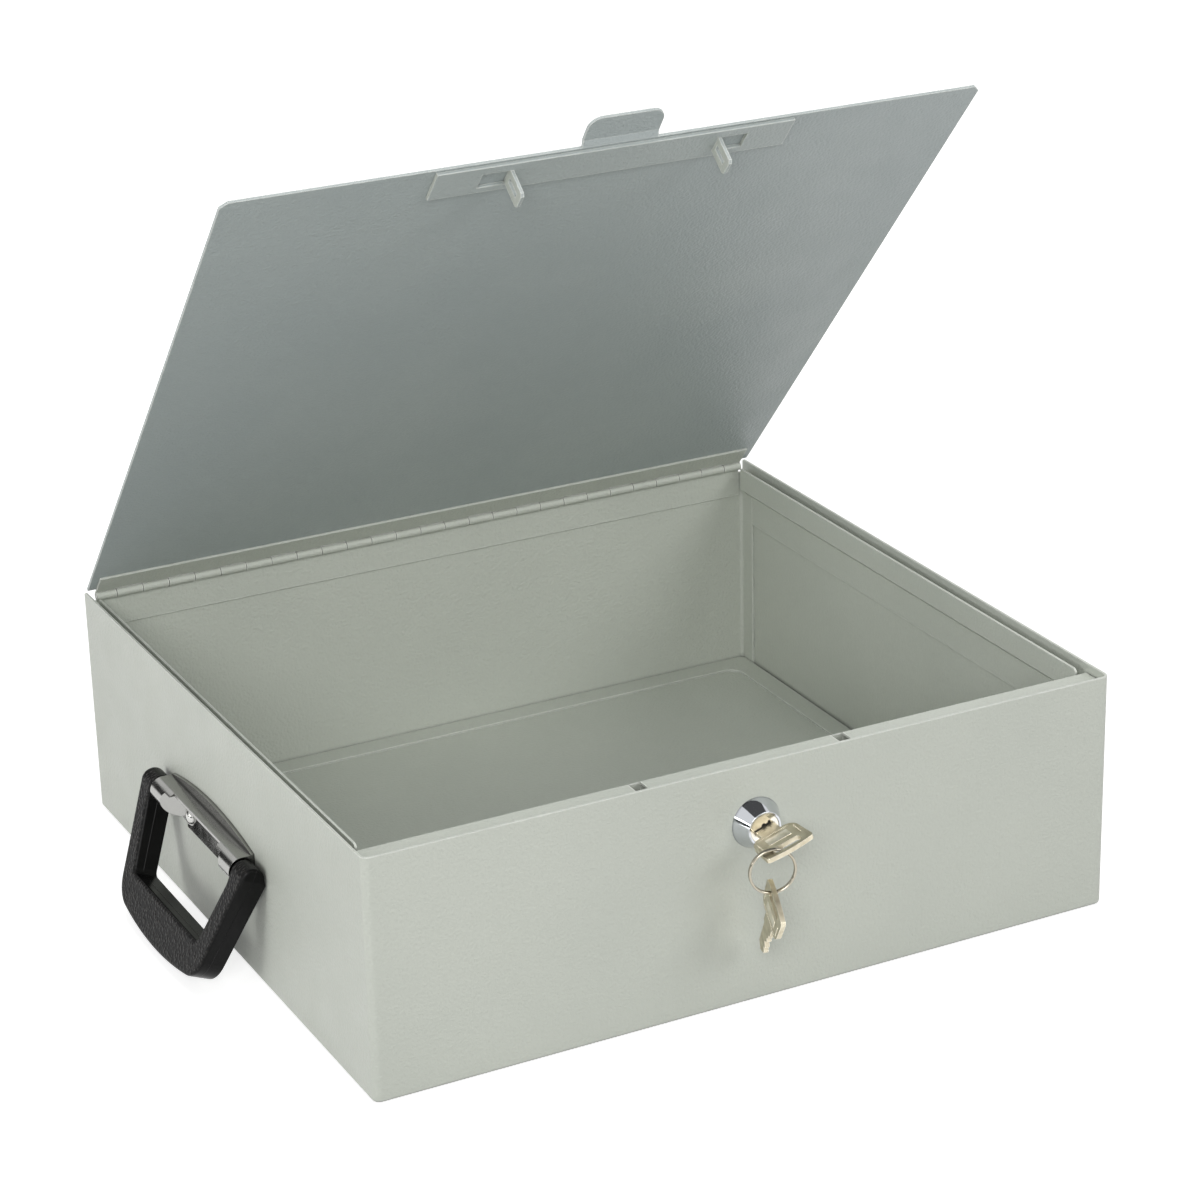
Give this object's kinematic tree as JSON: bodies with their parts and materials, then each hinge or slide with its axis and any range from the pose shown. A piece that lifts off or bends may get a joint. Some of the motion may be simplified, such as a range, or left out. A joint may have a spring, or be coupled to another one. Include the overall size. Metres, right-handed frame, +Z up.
{
  "type": "lockable file box",
  "caption": "Flat steel box with a piano-hinged lid, a cam lock that drives a two-point latch bar, a swinging side handle, and a key with a spare on a ring.",
  "frame": {"origin": "centre of the flat underside, at the bottom of the folded shell", "axes": "+Z up, the lock's front wall faces -Y, the hinge is at +Y and the handle is on the -X wall"},
  "size_m": [0.3714, 0.3464, 0.3483],
  "materials": {
    "grey_paint": "fine powder coat",
    "chrome": "bright",
    "zinc_steel": "zinc plated",
    "key_brass": "nickel plated, worn",
    "black_plastic": "leather grain"
  },
  "bodies": {
    "box": {"outer_shell": "grey_paint", "floor_panel": "grey_paint", "rear_wall": "grey_paint", "left_rail": "grey_paint", "right_rail": "grey_paint", "front_ledge": "grey_paint", "body_hinge_leaf": "grey_paint", "hinge_pin": "zinc_steel", "lock_housing": "chrome", "lock_nut": "zinc_steel", "bar_guides": "zinc_steel", "handle_bracket": "chrome", "handle_rivets": "chrome"},
    "lid": {"lid_panel": "grey_paint", "lid_hinge_leaf": "grey_paint", "hasp_strip": "grey_paint"},
    "handle": {"handle_grip": "black_plastic"},
    "plug": {"lock_plug": "chrome", "lock_cam": "zinc_steel", "cam_screw": "zinc_steel"},
    "bar": {"lock_bar": "zinc_steel"},
    "key": {"key": "key_brass"},
    "ring": {"key_ring": "chrome"},
    "spare": {"spare_key": "key_brass"}
  },
  "joints": [
    {"name": "lid_hinge", "type": "hinge", "parent": "box", "child": "lid", "pos_m": [0, 0.151, 0.10415], "axis": [-1, 0, 0], "range_deg": [-48.6, 56]},
    {"name": "handle_swing", "type": "hinge", "parent": "box", "child": "handle", "pos_m": [-0.17595, 0.005, 0.053], "axis": [0, 1, 0], "range_deg": [0, 95]},
    {"name": "plug_turn", "type": "hinge", "parent": "box", "child": "plug", "pos_m": [0, -0.15, 0.08], "axis": [0, 1, 0], "range_deg": [0, 90]},
    {"name": "bar_slide", "type": "slide", "parent": "box", "child": "bar", "axis": [1, 0, 0], "range_m": [0, 0.00779]},
    {"name": "key_withdraw", "type": "slide", "parent": "plug", "child": "key", "axis": [0, -1, 0], "range_m": [0, 0.018]},
    {"name": "ring_swing", "type": "hinge", "parent": "key", "child": "ring", "pos_m": [-0.00651, -0.1783, 0.07931], "axis": [0.9744, -0.225, 0], "range_deg": [-5, 8]},
    {"name": "spare_swing", "type": "hinge", "parent": "ring", "child": "spare", "pos_m": [-0.00651, -0.1783, 0.07046], "axis": [-0.225, -0.9744, 0], "range_deg": [-45, 45]}
  ],
  "couplings": [
    {"joint": "bar_slide", "follows": "plug_turn", "m_per_rad": 0.0049515}
  ]
}
